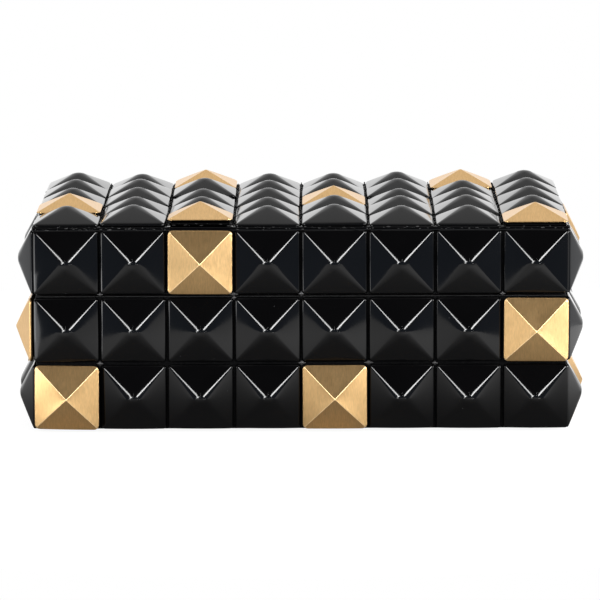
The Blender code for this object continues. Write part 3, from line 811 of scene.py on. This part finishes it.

# Brushed gold plate: upright brush lines, ridges partly rubbed and partly painted bright, and a painted
# shade on the upright rim
gold, tree, shader = material("brushed_gold", Metallic=1.0)
own = node(tree, "ShaderNodeAttribute", attribute_name="own_place").outputs["Vector"]
place = node(tree, "ShaderNodeTexCoord").outputs["Object"]
ridge = node(tree, "ShaderNodeAttribute", attribute_name="ridge").outputs["Fac"]
rim = node(tree, "ShaderNodeAttribute", attribute_name="rim").outputs["Fac"]
fine = use(tree, brushing, Place=own, Size=0.00018, Length=10.0)["Lines"]
broad = use(tree, brushing, Place=own, Size=0.00060, Length=6.0)["Lines"]
lines = total(tree, product(tree, fine, 0.3), product(tree, broad, 0.7))
cloud = use(tree, mottle, Place=place, Size=0.0060, Contrast=1.0)["Cloud"]
satin = tint(tree, cloud, (0.715, 0.448, 0.192), (0.780, 0.505, 0.230))
# Painted highlight and wear: pale gold is mixed in along the ridges, which are also made rougher
ridge_rubbed_and_painted_bright = product(tree, math_of(tree, "POWER", ridge, 1.5), rest_of(tree, rim))
gold_with_rubbed_and_painted_bright_ridges = tint(tree, product(tree, ridge_rubbed_and_painted_bright, 0.9), satin, (1.0, 0.80, 0.50))
# Painted shade: the upright rim and the foot of its rounded edge are darkened to 0.15 of the gold's
# colour
painted_rim_shade = value_between(tree, step_between(tree, rim, 0.80, 1.0), 1.0, 0.15)
brush_lines_and_painted_rim_shade = product(tree, value_between(tree, lines, 0.72, 1.28), painted_rim_shade)
gold_colour_with_painted_light = scaled(tree, gold_with_rubbed_and_painted_bright_ridges, brush_lines_and_painted_rim_shade)
rough = total(tree, value_between(tree, cloud, 0.28, 0.31), value_between(tree, lines, -0.03, 0.03))
rough = total(tree, rough, product(tree, ridge_rubbed_and_painted_bright, 0.38))
finish(tree, shader, gold_colour_with_painted_light, rough, broad, strength=0.12, depth=0.00003)


def gold_cap(name, body, turn, seat, halves, rim, edge):
    """One cap: its hollow underside, its rim and its four faces, which are faintly dished across."""
    rings, tip = pyramid(
        halves,
        rim=rim,
        rise=0.0085,
        edge=edge,
        lip=0.0,
        foot_corner=0.0029,
        ridge_corners=(0.0003, 0.0003),
        dome=0.0014,
        crown=0.00018,
        pillow=-0.00018,
        bow=0.00006,
        foot=0.0,
    )
    hollow = []
    for share, w in ((0.02, 0.0086), (1, 0.0006), (1, 0.0)):
        inner_u, inner_v = (share * (half - CAP_SHEET) for half in halves)
        hollow.append(plain_ring(inner_u, inner_v, share * 0.0020, w))
    twist = chance.uniform(-0.006, 0.006)
    lean = ASKEW.get(name, (chance.uniform(-0.004, 0.004), chance.uniform(-0.004, 0.004)))
    put = put_on(seat, turn, lean=lean, twist=twist)
    points, faces = [], []
    first, last = join_rings(points, faces, hollow + rings, put)
    close_foot(faces, first, len(rings[0]))
    add_tip(points, faces, last, len(rings[0]), put, tip)
    cap = finish_mesh(name, points, faces, [gold])
    # Each point's place on the cap itself, so that the brush lines run up it and differ from cap to cap
    back = turn.transposed()
    shift = Vector((chance.uniform(0, 5), chance.uniform(0, 5), 0))
    own_places = [part for point, _, _ in points for part in back @ (point - seat) + shift]
    cap.data.attributes.new("own_place", "FLOAT_VECTOR", "POINT").data.foreach_set("vector", own_places)
    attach(cap, body)
    return cap


for name, scatter in {**SCATTER, "lid_top": TOP_SCATTER}.items():
    body, side = name.split("_")
    if side == "top":
        turn, place = level_turn, Vector((0, 0, TOP_FACE))
        row_pitch, row_groove = COLUMN_PITCH, COLUMN_GROOVE
        rim, edge = 0.0004, 0.0004
        raised = TOP_RAISED
    else:
        turn, place = wall_face(name, len(scatter))
        row_pitch, row_groove = ROW_PITCH, ROW_GROOVE
        rim, edge = 0.0012, 0.0008
        raised = {}
    halves = ((COLUMN_PITCH - COLUMN_GROOVE) / 2, (row_pitch - row_groove) / 2)
    for row, line in enumerate(reversed(scatter), 1):
        for column, kind in enumerate(line, 1):
            if kind != "G":
                continue
            middle = cell_middle(column, row, scatter, row_pitch)
            seat = place + turn @ Vector((*middle, GLUE_LINE + raised.get((column, row), 0.0)))
            cell = f"{name}_c{column}_r{row}"
            cap = gold_cap(f"cap_{cell}", body, turn, seat, halves, rim, edge)
            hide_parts(f"gold_cap_{cell}")

# The floor board
# A plain board, let in between the four base walls and glued there. It is painted black, and the
# floor pad covers its upper side.

floor_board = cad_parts["base_floor_board"]
floor_board.data.materials.clear()
floor_board.data.materials.append(board_paint)

# The linings and the pads
# Thin cards wrapped in black felt, glued to the insides of the walls, and a thinner felt-covered pad
# on the floor and one under the lid's top, each between its four cards.

# Black felt: short fibres, a cloudy nap and some pale lint
cloth = {"Metallic": 0.0, "Specular_IOR_Level": 0.15, "Sheen_Weight": 0.35, "Sheen_Roughness": 0.5}
felt, tree, shader = material("black_felt", **cloth)
place = node(tree, "ShaderNodeTexCoord").outputs["Object"]
cloud = use(tree, mottle, Place=place, Size=0.012, Contrast=1.5)["Cloud"]
fibres = use(tree, mottle, Place=place, Size=0.00045, Contrast=2.0)["Cloud"]
lint = use(tree, specks, Place=place, Spacing=0.0050, Share=0.10, Dot=0.04)["Dots"]
nap = total(tree, product(tree, cloud, 0.4), product(tree, fibres, 0.6))
pile = tint(tree, nap, (0.0060, 0.0060, 0.0066), (0.0230, 0.0225, 0.0235))
pile = tint(tree, lint, pile, (0.10, 0.10, 0.10))
finish(tree, shader, pile, value_between(tree, nap, 0.85, 1.0), fibres, strength=0.8, depth=0.00025)

FELT_STEP = 0.007
UNEVEN = 0.00010
WAVES_PER_METRE = 45


def felt_card(name, low, high, edge, crown):
    """A slab with soft edges whose broad sides are uneven and, on a pad, crowned."""
    size = high - low
    thin = min(range(3), key=lambda axis: size[axis])
    wide = [axis for axis in range(3) if axis != thin]
    made = bmesh.new()
    bmesh.ops.create_cube(made, size=1)
    for vert in made.verts:
        vert.co = Vector(low[i] + (vert.co[i] + 0.5) * size[i] for i in range(3))
    bmesh.ops.bevel(made, geom=made.edges, offset=edge, segments=3, profile=0.5, affect="EDGES")
    for axis in wide:
        count = max(4, round(size[axis] / FELT_STEP))
        for step in range(1, count):
            at = Vector((0, 0, 0))
            at[axis] = low[axis] + size[axis] * step / count
            normal = Vector((0, 0, 0))
            normal[axis] = 1
            geometry = made.verts[:] + made.edges[:] + made.faces[:]
            bmesh.ops.bisect_plane(made, geom=geometry, plane_co=at, plane_no=normal)
    middle = (low + high) / 2
    for vert in made.verts:
        shares = [abs(vert.co[axis] - middle[axis]) / (size[axis] / 2) for axis in wide]
        soft = math.prod(1 - share**4 for share in shares)
        wave = noise.noise(vert.co * WAVES_PER_METRE) * UNEVEN * soft
        outward = 1 if vert.co[thin] > middle[thin] else -1
        # A flat card's waves only go inwards, as it lies against its wall
        if crown:
            vert.co[thin] += outward * (crown * soft - crown + wave)
        else:
            vert.co[thin] -= outward * abs(wave)
    mesh = bpy.data.meshes.new(name)
    made.to_mesh(mesh)
    made.free()
    mesh.materials.append(felt)
    mesh.shade_smooth()
    piece = bpy.data.objects.new(name, mesh)
    bpy.context.scene.collection.objects.link(piece)
    return piece


for body in ("base", "lid"):
    for side in ("front", "back", "left", "right"):
        lining = f"{body}_{side}_lining"
        card = felt_card(f"{body}_{side}_felt_card", *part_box(lining), edge=0.0005, crown=0.0)
        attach(card, body)
        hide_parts(lining)

for body, pad_node in (("base", "base_floor_pad"), ("lid", "lid_top_pad")):
    pad = felt_card(f"{pad_node}_felt", *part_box(pad_node), edge=0.0007, crown=0.0003)
    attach(pad, body)
    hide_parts(pad_node)

# The feet
# Four discs punched from thick black felt and stuck under the corners of the base, so that the box
# slides quietly and scratches nothing.

FOOT_SIDES = 48
FRAYED = 0.012

for side in ("front", "back"):
    for end in ("left", "right"):
        low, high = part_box(f"{side}_{end}_foot")
        centre, radius = (low + high) / 2, (high.x - low.x) / 2
        rings = []
        for reach, z in ((0.93, low.z), (1.0, low.z + 0.0003), (1.0, high.z - 0.0002), (0.95, high.z)):
            ring = []
            for step in range(FOOT_SIDES):
                angle = 2 * math.pi * step / FOOT_SIDES
                u, v = math.cos(angle), math.sin(angle)
                out = radius * reach * (1 - FRAYED * abs(noise.noise(Vector((u, v, z * 900)) * 9)))
                ring.append((u * out, v * out, z, 0.0, 0.0))
            rings.append(ring)
        points, faces = [], []
        put = put_on(Vector((centre.x, centre.y, 0)), level_turn)
        first, last = join_rings(points, faces, rings, put)
        close_foot(faces, first, FOOT_SIDES)
        close_head(faces, last, FOOT_SIDES)
        foot = finish_mesh(f"{side}_{end}_felt_foot", points, faces, [felt])
        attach(foot, "base")
        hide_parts(f"{side}_{end}_foot")

# The hinges
# Two small brass stop hinges, each with two leaves let into the walls' edges, three knuckles, a
# headed pin and four countersunk screws.

# Brass, lightly polished and tarnished in patches
brass, tree, shader = material("hinge_brass", Metallic=1.0)
place = node(tree, "ShaderNodeTexCoord").outputs["Object"]
lines = use(tree, brushing, Place=place, Size=0.00012, Length=8.0)["Lines"]
cloud = use(tree, mottle, Place=place, Size=0.0030, Contrast=1.8)["Cloud"]
tarnish = tint(tree, cloud, (0.480, 0.330, 0.140), (0.720, 0.560, 0.300))
rough = total(tree, value_between(tree, cloud, 0.20, 0.34), value_between(tree, lines, -0.05, 0.05))
finish(tree, shader, tarnish, rough, lines, strength=0.3, depth=0.00002)

for end in ("left", "right"):
    parts = [f"{end}_hinge_base_leaf", f"{end}_hinge_lid_leaf", f"{end}_hinge_pin"]
    parts += [f"{end}_{body}_screw_{number}" for body in ("base", "lid") for number in (1, 2)]
    for part in parts:
        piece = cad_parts[part]
        piece.data.materials.clear()
        piece.data.materials.append(brass)
